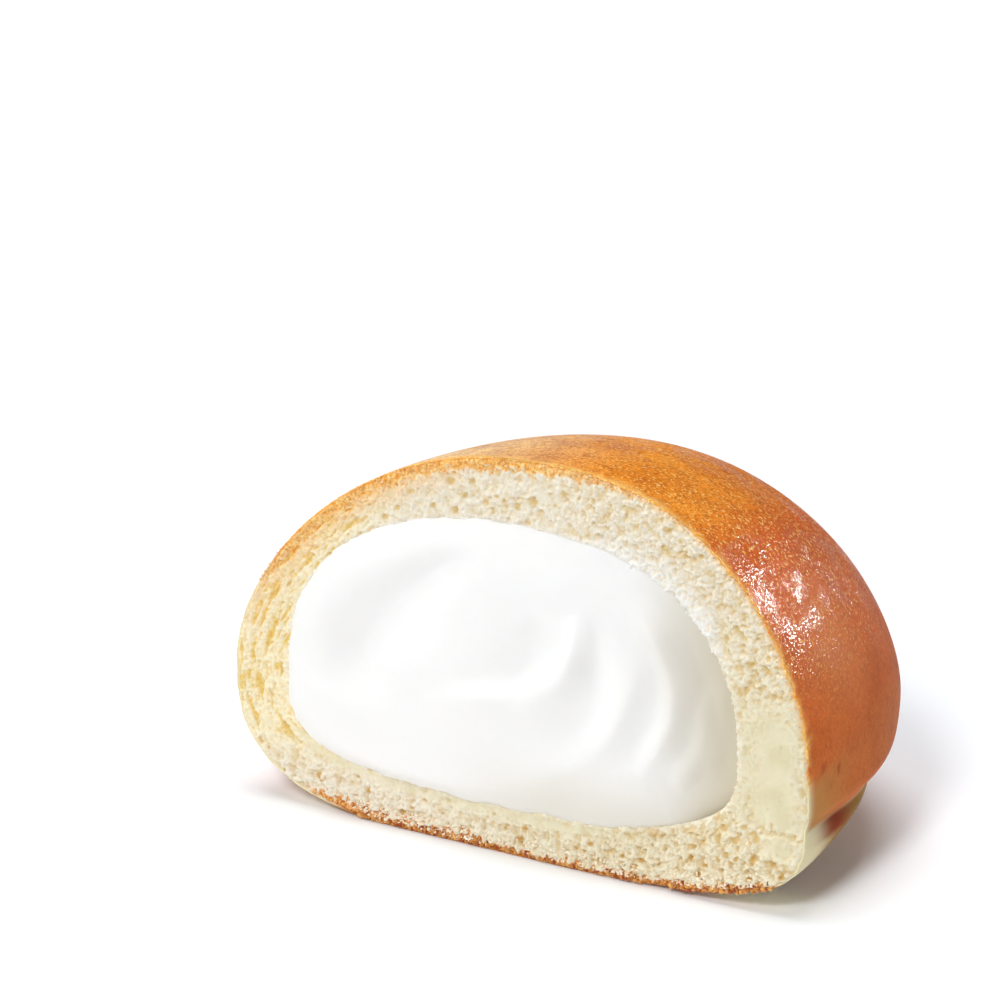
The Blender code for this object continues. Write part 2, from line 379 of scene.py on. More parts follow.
def bell(distance, width):
    """1 at no distance, fading to a third at the width."""
    return np.exp(-((distance / width) ** 2))


def soft_noise(points, size, seed=0.0):
    """Smooth noise of about -1 to 1 for each point, with waves of the given size in mm."""
    scaled = np.asarray(points, float) / size + seed
    return np.array([noise.noise(Vector(p)) for p in scaled])


def rough_noise(points, size, seed=0.0):
    """Noise with finer and finer parts, the coarsest of the given size in mm."""
    scaled = np.asarray(points, float) / size + seed
    return np.array([noise.fractal(Vector(p), 0.7, 2.0, 4) for p in scaled])


def keep_value(obj, name, values):
    """Store one number per vertex under a name that a material can read."""
    layer = obj.data.attributes.new(name, "FLOAT", "POINT")
    layer.data.foreach_set("value", np.asarray(values, np.float32))


print("a step half way up:", smooth_step(0.0, 1.0, 0.5), "a bell at its width:", bell(1.0, 1.0).round(2))

# %% [markdown]
# The lip follows the outline of the cut. For each vertex of the outline the direction
# that points inwards along the cut is needed; it is square to the line between its two
# neighbours.

# %% Extrude the lip and close the crust behind the crumb
LIP_STEPS = (  # millimetres inwards and back, and how ragged each step is
    (0.09, -0.04, 0.02),
    (0.24, 0.04, 0.04),
    (0.50, 0.45, 0.04),
    (1.40, 1.50, 0.00),
)
RECESS = 1.5  # how deep behind the cut the crumb's recess ends
pocket_loop, outer_loop = sorted(open_loops(mesh), key=lambda loop: np.ptp(places(crust)[loop, 0]))
outline = places(crust)[outer_loop]
flat = outline[:, [0, 2]]
along = np.roll(flat, -3, axis=0) - np.roll(flat, 3, axis=0)
inward = np.stack([-along[:, 1], along[:, 0]], axis=1)
inward /= np.linalg.norm(inward, axis=1)[:, None]
to_middle = np.array([0.0, 22.0]) - flat
inward *= np.sign((inward * to_middle).sum(axis=1))[:, None]

points = places(crust)
edge_depth = 0.40 + 0.40 * rough_noise(outline, 3.2) + 0.34 * rough_noise(outline, 1.1, seed=5.0)
edge_depth = np.clip(edge_depth * (0.3 + 0.7 * smooth_step(12.0, 28.0, outline[:, 0])), 0.02, 1.00)
points[outer_loop, 1] += edge_depth
set_places(crust, points)
finder = kdtree.KDTree(len(outer_loop))
for i, index in enumerate(outer_loop):
    finder.insert(points[index], i)
finder.balance()
chosen = np.zeros(len(points), bool)
chosen[outer_loop] = True
for step, (width, depth, ragged) in enumerate(LIP_STEPS):
    pick(crust, chosen)
    bpy.ops.mesh.extrude_edges_move()
    leave()
    chosen = np.empty(len(mesh.vertices), bool)
    mesh.vertices.foreach_get("select", chosen)
    fresh = np.flatnonzero(chosen)
    points = places(crust)
    order = np.array([finder.find(points[i])[1] for i in fresh])
    sideways = width + ragged * rough_noise(outline[order], 1.1, seed=step)
    points[fresh, 0] = outline[order, 0] + inward[order, 0] * sideways
    points[fresh, 2] = outline[order, 2] + inward[order, 1] * sideways
    points[fresh, 1] = np.minimum(depth + edge_depth[order], RECESS)
    points[fresh, 1] += ragged * soft_noise(outline[order], 0.8)
    set_places(crust, points)
    finder = kdtree.KDTree(len(fresh))
    for index, i in zip(fresh, order):
        finder.insert(points[index], int(i))
    finder.balance()

points = places(crust)
points[pocket_loop, 1] = RECESS
set_places(crust, points)
chosen[pocket_loop] = True
pick(crust, chosen)
bpy.ops.mesh.bridge_edge_loops()
bpy.ops.mesh.select_all(action="SELECT")
bpy.ops.mesh.normals_make_consistent(inside=False)
leave()
crust.data.shade_smooth()
print("crust:", len(mesh.polygons), "faces; open edges left:", len(open_loops(mesh)))

# %% [markdown]
# Baking leaves its marks by place. The dome is golden and its left side blond, the
# flanks are a deeper brown, and the foot stays pale where the heat came last. Low on
# the right a fold runs round the bun: above it the crust tans into the cut, below it the
# underside is pale, with one short red-brown strip. The egg wash lies thickest where
# the shine sits, and below the shine a painted sheen lightens the crust. These marks
# are numbers from 0 to 1 stored on the vertices, which the material reads later.

# %% Note how much each part of the crust was baked, and where sheen is painted
WASHED_AT = (36.0, 8.0, 42.0)  # where the wash lies thickest, in mm
PAINTED_SHEEN_AT = (41.0, 13.0, 35.0)  # where a painted sheen lightens the crust, below the shine
DARK_SPOTS = ((4.4, 20.4), (8.4, 19.2), (5.6, 17.8))  # depth and height, above the fold
STRIP_DEPTH = 9.4
points = places(crust)
x, depth, height = points.T
wander = soft_noise(points, 9.0)
crumple = rough_noise(points, 1.6)
front = np.maximum(depth, 0.0)
turn = np.degrees(np.arctan2(depth, x - CROWN_X))
right_side = 1.0 - smooth_step(40.0, 85.0, turn)
below_fold = right_side * (1.0 - smooth_step(12.0, 12.9, height + 0.3 * wander))
foot = 0.6 * (1.0 - smooth_step(2.0, 9.0, height + 2.0 * wander)) * (1.0 - right_side)
left_lip = bell(np.maximum(front - 0.8, 0.0), 1.6) * (x < -20)
left_lip *= 1.0 - smooth_step(31.0, 38.0, height + wander)
right_lip = bell(np.maximum(front - 0.4, 0.0), 0.9) * (x > 20)
right_lip *= 1.0 - smooth_step(18.6, 20.2, height + 0.6 * crumple)
tan = (1.0 - smooth_step(16.5, 20.0, height - 0.25 * front + 0.5 * crumple)) * (x > 20)
tan *= 0.9 * (1.0 - 0.9 * smooth_step(1.0, 14.0, front + wander))
shade = below_fold * smooth_step(3.0, 12.0, front + wander)
strip = smooth_step(9.0, 10.4, height + 0.3 * crumple) * (1.0 - smooth_step(12.0, 12.8, height))
strip *= (x > 20) * bell(depth - STRIP_DEPTH, 4.6)
spots = sum(bell(np.hypot(depth - at, height - z), 0.75) for at, z in DARK_SPOTS)
spots = spots * (x > 20) * smooth_step(-0.5, 0.4, rough_noise(points, 0.7))
lit_edge = bell(front, np.maximum(0.90 + 0.60 * crumple, 0.25)) * smooth_step(16.0, 21.0, height)
lit_edge *= np.maximum(x > 0, smooth_step(32.0, 38.0, height))
washed = bell(np.linalg.norm(points - WASHED_AT, axis=1), 8.5)
blond = smooth_step(-8.0, 16.0, 4.0 - x) * smooth_step(36.0, 47.0, height + 4.0 * wander)
blond *= 0.2 + 0.8 * (1.0 - smooth_step(6.0, 30.0, depth + 6.0 * wander))
corner = 3.0 * smooth_step(24.0, 40.0, x) * bell(front, 1.2)  # the outline climbs at the right
toasted = (1.0 - smooth_step(0.8, 1.8, height - corner + 0.5 * wander)) * smooth_step(-37.0, -33.0, x)
toasted *= 1.0 - smooth_step(39.0, 41.5, x)
marks = {
    "dome": smooth_step(45.5, 55.5, height + 2.0 * wander),
    "blond": blond,
    "flank": 1.0 - smooth_step(16.0, 44.0, height + 3.0 * wander),
    "washed": np.maximum(0.2 * smooth_step(26.0, 40.0, height + 3.0 * wander), washed),
    # painted sheen: a lighter patch of crust below the shine
    "painted_sheen": 0.25 * bell(np.linalg.norm(points - PAINTED_SHEEN_AT, axis=1), 9.0),
    "tan": tan,
    "shade": shade,
    "pale": np.maximum.reduce([below_fold, foot, left_lip, right_lip]),
    "strip": np.maximum(strip, 0.8 * spots),
    "edge": lit_edge,
    "toasted": toasted,
}
for name, values in marks.items():
    keep_value(crust, name, np.clip(values, 0.0, 1.0))
print("pale share of the crust:", round(float(marks["pale"].mean()), 3))

# %% [markdown]
# ## The crumb
# The crumb is a foam of set dough. The knife opened its bubbles, so the cut is covered
# with shallow pits from 0.2 to 1.6 mm across. A bump map would stay flat at the edges
# of the pits, so the cut is a fine grid, and the pits are pressed into it: each bubble
# is a ball cut open, and a grid point goes as deep as the deepest ball over it.
#
# The grid is cut out between two outlines, that of the crust and that of the cream.
# The distance to both is measured for every grid point first.

# %% Measure the ring between crust and cream
RING_X, RING_Z = -2.0, 20.0  # the middle that bearings on the cut are taken from
CELL = 0.16
LEFT, LOW = -48.96, -0.64
COLUMNS, ROWS = 588, 360
grid_x, grid_z = np.meshgrid(LEFT + CELL * np.arange(COLUMNS + 1), LOW + CELL * np.arange(ROWS + 1))


def distance_inside(loop):
    """For every grid point the distance in mm to a closed outline, positive inside it."""
    nearest = np.full(grid_x.shape, np.inf)
    crossings = np.zeros(grid_x.shape, int)
    for (ax, az), (bx, bz) in zip(loop, np.roll(loop, -1, axis=0)):
        dx, dz = bx - ax, bz - az
        share = np.clip(((grid_x - ax) * dx + (grid_z - az) * dz) / (dx * dx + dz * dz + 1e-12), 0, 1)
        nearest = np.minimum(nearest, (grid_x - ax - share * dx) ** 2 + (grid_z - az - share * dz) ** 2)
        if dz:
            reach = ax + (grid_z - az) * dx / dz
            crossings += ((az > grid_z) != (bz > grid_z)) & (grid_x < reach)
    return np.sqrt(nearest) * np.where(crossings % 2, 1.0, -1.0)


cream = sewn_copy("cream", "filling")
rim = places(cream)
rim = rim[np.abs(rim[:, 1]) < 0.001][:, [0, 2]]
rim = rim[np.argsort(np.arctan2(rim[:, 1] - RING_Z, rim[:, 0]))]
from_crust = distance_inside(flat[::2])
from_cream = -distance_inside(rim)
widest = float(from_crust[from_cream > 0].max())
print("cream outline:", len(rim), "points, ring up to", round(widest, 1), "mm wide")

# %% [markdown]
# The grid lies upright in the cut with cells of 0.16 mm, fine enough for the smallest
# pits. It reaches 0.7 mm under the edge of the cream, so that no gap shows there.

# %% Lay a fine grid and cut the ring out of it
bpy.ops.object.select_all(action="DESELECT")
middle = (LEFT + CELL * COLUMNS / 2, 0.0, LOW + CELL * ROWS / 2)
bpy.ops.mesh.primitive_grid_add(
    x_subdivisions=COLUMNS, y_subdivisions=ROWS, size=1.0,
    location=to_metres(middle), rotation=(math.pi / 2, 0, 0))
crumb = bpy.context.object
crumb.name = "crumb"
crumb.scale = (COLUMNS * CELL * MM, ROWS * CELL * MM, 1.0)
bpy.ops.object.transform_apply(location=True, rotation=True, scale=True)


def read_grid(obj, field):
    """The value of a grid field at each vertex of obj."""
    spots = places(obj)
    column = np.clip(np.rint((spots[:, 0] - LEFT) / CELL).astype(int), 0, COLUMNS)
    row = np.clip(np.rint((spots[:, 2] - LOW) / CELL).astype(int), 0, ROWS)
    return field[row, column]


in_ring = (from_crust > 0.10) & (from_cream > -0.7)
pick(crumb, ~read_grid(crumb, in_ring))
bpy.ops.mesh.delete(type="VERT")
leave()
print("crumb grid:", len(crumb.data.polygons), "faces")

# %% [markdown]
# A bubble that the knife opened is a ball with its upper part gone. The largest ones
# are listed one by one, as they catch the eye: a row of round ones at the top and a group
# of long ones low on the right. All others are thrown by a seeded dice, drawn out along
# the crust on the left, where the dough was squeezed. Right of the cream the knife
# pressed the crumb smooth, so few pits are left there, and the squeezed left side has
# fewer too.

# %% Press the pits
LARGE_PORES = (  # x and z, radius, how long for its width, turn in degrees
    (-12.3, 51.0, 0.75, 1.5, 10), (-11.5, 47.1, 0.65, 1.3, 0), (-6.6, 49.0, 0.60, 1.2, 80),
    (-1.5, 49.3, 0.65, 1.2, 0), (0.9, 50.5, 0.80, 1.2, 0), (5.8, 52.3, 0.55, 1.4, 80),
    (11.4, 47.6, 0.60, 1.3, 30), (17.0, 47.0, 0.50, 1.5, 60), (23.0, 41.6, 0.55, 1.6, 120),
    (30.4, 9.3, 0.70, 1.9, 70), (32.6, 9.4, 0.60, 1.8, 150), (36.2, 10.2, 0.70, 1.1, 0),
    (35.8, 7.2, 0.75, 2.2, 65), (38.7, 7.3, 0.60, 2.0, 165), (40.2, 5.7, 0.55, 2.0, 20),
    (31.6, 7.2, 0.50, 1.8, 20), (35.0, 4.4, 0.45, 1.7, 40), (26.0, 5.6, 0.50, 1.6, 80),
)
PORES = (  # radius from and to in mm, pores per square mm
    (0.34, 0.58, 0.07),
    (0.20, 0.34, 0.45),
    (0.11, 0.20, 2.00),
)
SHADED_RADIUS = 0.33  # a bubble from this size on gets painted shade on its floor
slope_z, slope_x = np.gradient(from_crust, CELL)
calm = bell(grid_x - 38.8, 4.6) * smooth_step(11.0, 13.5, grid_z)
calm *= 1.0 - smooth_step(25.0, 31.0, grid_z)
calm = np.maximum(calm, bell(np.hypot((grid_x - 39.4) / 1.5, grid_z - 9.7), 1.6))
under_cream = bell(from_cream - 0.7, 1.0) * (1.0 - smooth_step(8.0, 13.0, grid_z))
calm = np.maximum(calm, 0.75 * under_cream * (1.0 - smooth_step(8.0, 22.0, grid_x)))
calm = np.clip(calm, 0, 1)
pit = np.zeros(grid_x.shape)
pit_shade = np.zeros(grid_x.shape)


def press_pore(cx, cz, radius, stretch, along, sunk):
    """Press one opened bubble, long in the direction along and deeper by sunk, in mm."""
    reach = int(radius * stretch / CELL) + 2
    row, column = int(round((cz - LOW) / CELL)), int(round((cx - LEFT) / CELL))
    rows = slice(max(0, row - reach), min(ROWS, row + reach) + 1)
    columns = slice(max(0, column - reach), min(COLUMNS, column + reach) + 1)
    dx, dz = grid_x[rows, columns] - cx, grid_z[rows, columns] - cz
    lengthways = (dx * along[0] + dz * along[1]) / math.sqrt(stretch)
    across = (dz * along[0] - dx * along[1]) * math.sqrt(stretch)
    left_over = radius ** 2 - across ** 2 - lengthways ** 2
    ball = np.sqrt(np.maximum(left_over, 0.0)) + np.where(left_over > 0, sunk, 0.0)
    pit[rows, columns] = np.maximum(pit[rows, columns], ball)
    if radius > SHADED_RADIUS:
        shade = np.clip(left_over / radius ** 2, 0.0, 1.0)
        pit_shade[rows, columns] = np.maximum(pit_shade[rows, columns], shade)


for cx, cz, radius, stretch, turned in LARGE_PORES:
    turned = math.radians(turned)
    press_pore(cx, cz, radius, stretch, (math.cos(turned), math.sin(turned)), -0.1 * radius)

dice = random.Random(5)
area = float(in_ring.sum()) * CELL * CELL
count = len(LARGE_PORES)
for smallest, largest, density in PORES:
    for _ in range(int(area * density * 3)):
        cx = dice.uniform(-49.0, 45.0)
        cz = dice.uniform(-0.5, 56.5)
        column = int(round((cx - LEFT) / CELL))
        row = int(round((cz - LOW) / CELL))
        lucky = dice.random()
        radius = dice.uniform(smallest, largest)
        stretch = 1.0 + 0.8 * dice.random()
        sunk = dice.uniform(-0.5, 0.35) * radius
        if not (0 <= row <= ROWS and 0 <= column <= COLUMNS and in_ring[row, column]):
            continue
        if lucky < max(calm[row, column] * 0.97, 0.6 * (cx < -30.0 and cz > 8.0)):
            continue
        stretch += 1.6 * float(smooth_step(22.0, 38.0, -cx)) * float(smooth_step(6.0, 14.0, cz))
        nx, nz = slope_x[row, column], slope_z[row, column]
        size = math.hypot(nx, nz) + 1e-9
        press_pore(cx, cz, radius, stretch, (-nz / size, nx / size), sunk)
        count += 1
print("pores:", count, "covering", round(float((pit[in_ring] > 0.05).mean()), 2), "of the ring")

# %% [markdown]
# The rest of the relief is soft: slow waves from the knife, lumps where the foam tore,
# a fine grain on the walls, and a shoulder that rolls off behind the crust's edge. The
# crumb meets the cream in loose tufts that lie over the cream's thin edge.

# %% Set the crumb's depth
points = places(crumb)
across, _, height = points.T
crust_gap = read_grid(crumb, from_crust)
cream_gap = read_grid(crumb, from_cream)
smooth_wall = read_grid(crumb, calm)
hole = read_grid(crumb, pit)
bearing = np.arctan2(height - RING_Z, across - RING_X)
leftness = smooth_step(16.0, 34.0, -across) * smooth_step(4.0, 12.0, height)
lowness = 1.0 - smooth_step(4.0, 10.0, height)
unrolled = np.stack([bearing * 34.0 / 3.2, crust_gap / 1.1, np.zeros(len(points))], axis=1)
streaks = rough_noise(unrolled, 1.0)
clumps = rough_noise(points, 1.5)
grain = rough_noise(points, 0.55, seed=9.0)
fine = soft_noise(points, 0.34, seed=19.0)
waves = soft_noise(points, 5.0, seed=3.0)
curls = clumps * (1.0 - leftness) + 1.5 * streaks * leftness
rough = (1.0 + 0.25 * smooth_step(5.0, 15.0, across)) * (1.0 - 0.85 * smooth_wall)
shoulder = 1.0 - smooth_step(0.10, 0.44, crust_gap + 0.14 * grain)
tufts = bell(cream_gap - 0.1, 0.9) * smooth_step(0.05, 0.6, grain + 0.5 * clumps)
tufts *= smooth_step(-8.0, 8.0, across) * smooth_step(9.0, 14.0, height)
crack = bell(height - 11.5 - 0.5 * clumps, 0.16) * smooth_step(36.5, 38.0, across)
points[:, 1] = 0.22 * waves + (0.38 * curls + 0.31 * grain + 0.12 * fine) * rough + 0.62 * hole
points[:, 1] += 0.45 * shoulder + 0.35 * crack - 0.32 * tufts
points[:, 1] += 0.7 * bell(crust_gap, 1.1) * smooth_wall * smooth_step(8.0, 12.0, height)
points[:, 1] += 0.5 * smooth_step(0.2, 0.9, -cream_gap) * smooth_step(9.0, 13.0, height)
points[:, 1] -= 0.30 * bell(cream_gap, 0.7) * (1.0 - smooth_step(9.0, 13.0, height))
set_places(crumb, points)
print("crumb relief from", round(points[:, 1].min(), 2), "to", round(points[:, 1].max(), 2), "mm")

# %% [markdown]
# Colour follows the baking. Heat came through the crust, so at the top, and most at the
# upper left, an orange rind a millimetre wide runs along it, ragged where the foam let
# the heat in. At the bottom, on the baking tray, about the last millimetre is toasted
# brown, up to the right corner. The squeezed crumb on the left is yellower, and next to
# the cream some of it is smeared over the crumb. Painted shade darkens the crumb towards
# the right and the bottom, and on the floors of the larger pits and in the crack.

# %% Note the colours of the crumb
angle = np.degrees(bearing)
top_left = smooth_step(45.0, 88.0, angle) * (1.0 - smooth_step(150.0, 176.0, angle))
rind_width = (0.25 + 1.15 * top_left) * (1.0 + 0.55 * clumps + 0.45 * grain)
rind = smooth_step(-0.35, 0.25, rind_width - crust_gap + 0.2) * (0.35 + 0.65 * top_left)
rind *= smooth_step(18.0, 24.0, height)
strokes = smooth_step(0.35, 0.6, streaks) * (1.0 - smooth_step(2.2, 3.6, crust_gap))
strokes *= smooth_step(112.0, 130.0, angle) * (1.0 - smooth_step(158.0, 172.0, angle))
glow = 0.65 * (1.0 - smooth_step(0.8, 5.2, crust_gap + clumps)) * smooth_step(95.0, 125.0, angle)
glow *= 1.0 - smooth_step(150.0, 182.0, angle)
burnt_height = 0.82 + 0.62 * smooth_step(-37.0, -30.0, across) * (1.0 - smooth_step(-12.0, -2.0, across))
burnt_height = burnt_height * (1.0 + 0.6 * clumps + 0.7 * grain)
edge_gap = np.minimum(height, crust_gap + 10.0 * smooth_step(4.0, 6.0, height))
burnt = (1.0 - smooth_step(-0.05, 0.25, edge_gap - burnt_height)) * smooth_step(-38.0, -34.0, across)
burnt *= 1.0 - smooth_step(39.0, 41.5, across)
spread = smooth_step(8.0, 14.0, across) * (1.0 - smooth_step(28.0, 33.0, across))
spread *= smooth_step(31.0, 37.0, height)
smear = bell(np.maximum(cream_gap, 0.0), 0.45 + 2.5 * spread) * (0.7 + 0.3 * spread)
smear *= (1.0 - 0.6 * smooth_step(-0.1, 0.5, grain)) * (1.0 - 0.6 * smooth_step(28.0, 33.0, across))
smear *= 0.25 + 0.75 * smooth_step(14.0, 22.0, height)
tone = 0.35 * np.clip(hole / 0.40, 0.0, 1.0) + 0.40 * smooth_step(-0.1, 0.6, curls)
tone += 0.30 * smooth_step(0.0, 0.5, grain) + 0.20 * smooth_step(0.0, 0.6, fine)
tone *= 1.0 + 0.4 * smooth_step(0.0, 14.0, across) * (1.0 - lowness)
tone += leftness * (0.12 + 0.30 * smooth_step(0.0, 0.6, streaks))
under_edge = bell(cream_gap - 0.3, 0.6) * (1.0 - smooth_step(9.0, 13.0, height))
tone += 0.5 * under_edge * smooth_step(-0.6, 0.2, clumps)
marks = {
    "tone": tone * rough,
    # painted shade on the floors of the larger pits and in the crack
    "pit_shade": read_grid(crumb, pit_shade) * (1.0 - 0.5 * smooth_wall) + 0.8 * crack,
    "rind": np.maximum.reduce([rind, 0.7 * strokes, glow]),
    "smear": smear,
    "wall": smooth_wall * (0.55 + 0.45 * smooth_step(-0.4, 0.5, soft_noise(points, 3.0, seed=50.0))),
    "left": leftness,
    "low": lowness,
    # painted shade: the crumb is darker towards the right and the bottom
    "shade_right_low": smooth_step(-26.0, 6.0, across) * (1.0 - smooth_step(24.0, 46.0, height)),
    "burnt": burnt,
}
for name, values in marks.items():
    keep_value(crumb, name, np.clip(values, 0.0, 1.0))
print("toasted share of the cut:", round(float(burnt.mean()), 3))

# %% [markdown]
# A sheet has no body. Its two open edges are extruded straight back and the back is
# filled flat, so the crumb becomes a closed slab that stands in the crust's recess, with
# a hair's breadth of air behind it.

# %% Close the crumb into a slab
SLAB_BACK = 1.45  # just in front of the recess's end
pick(crumb, np.zeros(len(crumb.data.vertices)))
bpy.ops.mesh.select_mode(type="EDGE")
bpy.ops.mesh.select_non_manifold(
    use_wire=False, use_boundary=True, use_multi_face=False,
    use_non_contiguous=False, use_verts=False)
bpy.ops.mesh.extrude_edges_move()
leave()
chosen = np.empty(len(crumb.data.vertices), bool)
crumb.data.vertices.foreach_get("select", chosen)
points = places(crumb)
points[chosen, 1] = SLAB_BACK
set_places(crumb, points)
pick(crumb, chosen)
bpy.ops.mesh.fill(use_beauty=True)
bpy.ops.mesh.select_all(action="SELECT")
bpy.ops.mesh.normals_make_consistent(inside=False)
leave()
crumb.data.shade_smooth()
print("crumb:", len(crumb.data.polygons), "faces; open edges left:", len(open_loops(crumb.data)))

# %% [markdown]
# ## The cream
# Whipped cream is soft enough to follow the spatula and stiff enough to keep its mark.
# The copy of the filling is subdivided, and its front is then shaped as a height over
# the cut: a low dome with a rounded rim on the left, running out thin on the right.

# %% Measure the cream's face
FILL = {"right": 33.7, "left": 38.9, "top": 27.1, "low": 12.8, "middle": 19.5}
SQUARE = {("right", "top"): 2.45, ("left", "top"): 2.28, ("right", "low"): 2.6, ("left", "low"): 3.6}
only(cream)
rounding = cream.modifiers.new("rounding", "SUBSURF")
rounding.levels = 2
rounding.render_levels = 2
bpy.ops.object.modifier_apply(modifier=rounding.name)


def fill_level(x, z):
    """0 in the middle of the cream's face, 1 on its outline."""
    level = np.zeros(len(x))
    for (side, part), power in SQUARE.items():
        here = ((x > 0) == (side == "right")) & ((z > FILL["middle"]) == (part == "top"))
        across = np.abs(x[here]) / FILL[side]
        upward = np.abs(z[here] - FILL["middle"]) / FILL[part]
        level[here] = (across ** power + upward ** power) ** (1.0 / power)
    return level


print("cream:", len(cream.data.polygons), "faces")

# %% [markdown]
# On the dome lie the spatula's strokes. Each one is a crest that follows a drawn line:
# the cream rises gently towards it from the swirl's middle and drops steeply behind it,
# as the blade's edge leaves it. At the upper left the blade left a groove inside the
# rim, and in the middle a faint dimple. Each line is a curve through a few points.

# %% Draw the spatula's strokes
STROKES = (  # the crest's line as x and z, its height, inner width, outer width at both ends
    (((9.4, 37.5), (10.3, 34.6), (10.4, 31.4), (8.6, 28.4),
      (5.1, 26.0), (0.6, 24.3), (-6.5, 22.8), (-14.5, 20.6)), 2.10, 2.2, 1.2, 5.0),
    (((18.8, 34.5), (18.9, 30.1), (17.8, 25.1), (14.7, 20.4), (9.6, 16.3), (4.8, 13.9), (-3.5, 11.0)),
     1.00, 2.6, 1.3, 2.4),
    (((17.0, 41.0), (20.0, 37.9), (22.3, 34.7), (24.2, 30.2), (24.4, 25.4), (22.7, 20.9), (18.0, 14.5)),
     1.70, 1.8, 2.4, 1.5),
    (((27.6, 29.0), (28.1, 25.0), (27.2, 20.7), (24.0, 14.5)), 0.80, 1.7, 1.2, 1.3),
    (((30.0, 30.0), (30.3, 26.2), (29.8, 22.4), (28.3, 16.5)), 0.50, 1.4, 1.1, 1.1),
)
GROOVE = ((-28.5, 18.0), (-26.7, 24.0), (-22.8, 29.8), (-17.6, 35.2), (-11.9, 39.6), (-4.0, 42.2))
DIMPLE = ((0.6, 22.5), (1.6, 26.4), (3.0, 30.6), (4.6, 36.5))


def smooth_line(corners, pieces=14):
    """A curve through the given points, as many short straight pieces."""
    ends = np.array([corners[0], *corners, corners[-1]], float)
    line = []
    for before, start, end, after in zip(ends, ends[1:], ends[2:], ends[3:]):
        for t in np.arange(pieces) / pieces:
            line.append(0.5 * (2 * start + (end - before) * t
                               + (2 * before - 5 * start + 4 * end - after) * t ** 2
                               + (3 * start - before - 3 * end + after) * t ** 3))
    return np.array(line + [ends[-2]])


def along_line(x, z, corners):
    """Signed distance to a curve, positive on its left, and the share of its length."""
    line = smooth_line(corners)
    best = np.full(len(x), np.inf)
    side = np.zeros(len(x))
    share = np.zeros(len(x))
    for index, ((ax, az), (bx, bz)) in enumerate(zip(line, line[1:])):
        dx, dz = bx - ax, bz - az
        t = np.clip(((x - ax) * dx + (z - az) * dz) / (dx * dx + dz * dz), 0, 1)
        gap = np.hypot(x - ax - t * dx, z - az - t * dz)
        closer = gap < best
        best = np.where(closer, gap, best)
        side = np.where(closer, np.sign(dx * (z - az) - dz * (x - ax)), side)
        share = np.where(closer, (index + t) / (len(line) - 1), share)
    return best * side, share


def stroke_height(x, z, corners, tall, inner, outer_first, outer_last):
    """A crest with a gentle inner side, a steeper outer side and a shallow trough behind."""
    gap, share = along_line(x, z, corners)
    outer = outer_first + (outer_last - outer_first) * smooth_step(0.2, 0.75, share)
    fade = smooth_step(0.0, 0.30, share) * (1.0 - smooth_step(0.80, 1.0, share))
    profile = bell(gap, np.where(gap > 0, outer, inner)) - 0.3 * bell(gap - 2.2 * outer, 1.6 * outer)
    return tall * fade * profile


def cream_height(x, z):
    """How far the cream stands out of the cut, in mm."""
    level = np.minimum(fill_level(x, z), 1.0)
    steepness = 9.0 + (2.4 - 9.0) * smooth_step(-18.0, 22.0, x)
    height = (3.0 + 1.0 * smooth_step(6.0, 18.0, z)) * (1.0 - level ** steepness)
    thin_side = smooth_step(14.0, 33.0, x) * smooth_step(3.0, 12.0, z)
    height -= 2.0 * thin_side * (1.0 - smooth_step(30.0, 42.0, z))
    height += 1.6 * bell(np.hypot((x + 9.5) / 1.7, z - 27.0), 5.0)
    inside = 1.0 - smooth_step(0.84, 1.0, level)
    for stroke in STROKES:
        height += stroke_height(x, z, *stroke) * inside
    gap, share = along_line(x, z, GROOVE)
    narrowing = smooth_step(0.25, 0.85, share)
    wide = np.where(gap > 0, 5.2 - 3.0 * narrowing, 5.6 - 2.2 * narrowing)
    groove = (3.0 - 1.4 * narrowing) * bell(gap, wide)
    height -= groove * smooth_step(0, 0.25, share) * (1 - smooth_step(0.75, 1.0, share)) * inside
    gap, share = along_line(x, z, DIMPLE)
    height -= 0.8 * bell(gap, 2.4) * smooth_step(0, 0.3, share) * (1 - smooth_step(0.7, 1.0, share))
    return height


print("strokes:", len(STROKES))

# %% [markdown]
# Only the part of the cream near the cut is moved: outwards to its height, and at the
# rim a little sideways, in an uneven line, so that it rolls over the crumb. Towards its
# thin right side and along its low edge the cream is marked for a darker, warmer colour:
# partly the crumb showing through, partly painted shade.

# %% Shape the cream's front
FRONT_REACH = 1.2  # how deep behind the cut the cream's front reaches, in mm
points = places(cream)
front = points[:, 1] < FRONT_REACH
x, z = points[front, 0], points[front, 2]
face = np.stack([x, z, np.zeros(len(x))], axis=1)
wobble = soft_noise(face, 4.5, seed=7.0)
ripple = soft_noise(face, 2.6, seed=17.0)
grain = soft_noise(face, 1.1, seed=27.0)
height = cream_height(x, z)
points[front, 1] = -(height + 0.10 * wobble + 0.05 * ripple + 0.02 * grain)
edge = smooth_step(0.88, 1.0, fill_level(x, z)) * (1.0 - 0.6 * smooth_step(6.0, 20.0, x))
outward = np.stack([x, (z - FILL["middle"]) * 1.3], axis=1)
outward /= np.linalg.norm(outward, axis=1)[:, None] + 1e-9
shift = edge * np.maximum(0.30 + 0.50 * wobble + 0.25 * grain, 0.05)
points[front, 0] += outward[:, 0] * shift
points[front, 2] += outward[:, 1] * shift
points[front, 1] -= 0.25 * edge * smooth_step(9.0, 18.0, z)
set_places(cream, points)
x, _, z = points.T
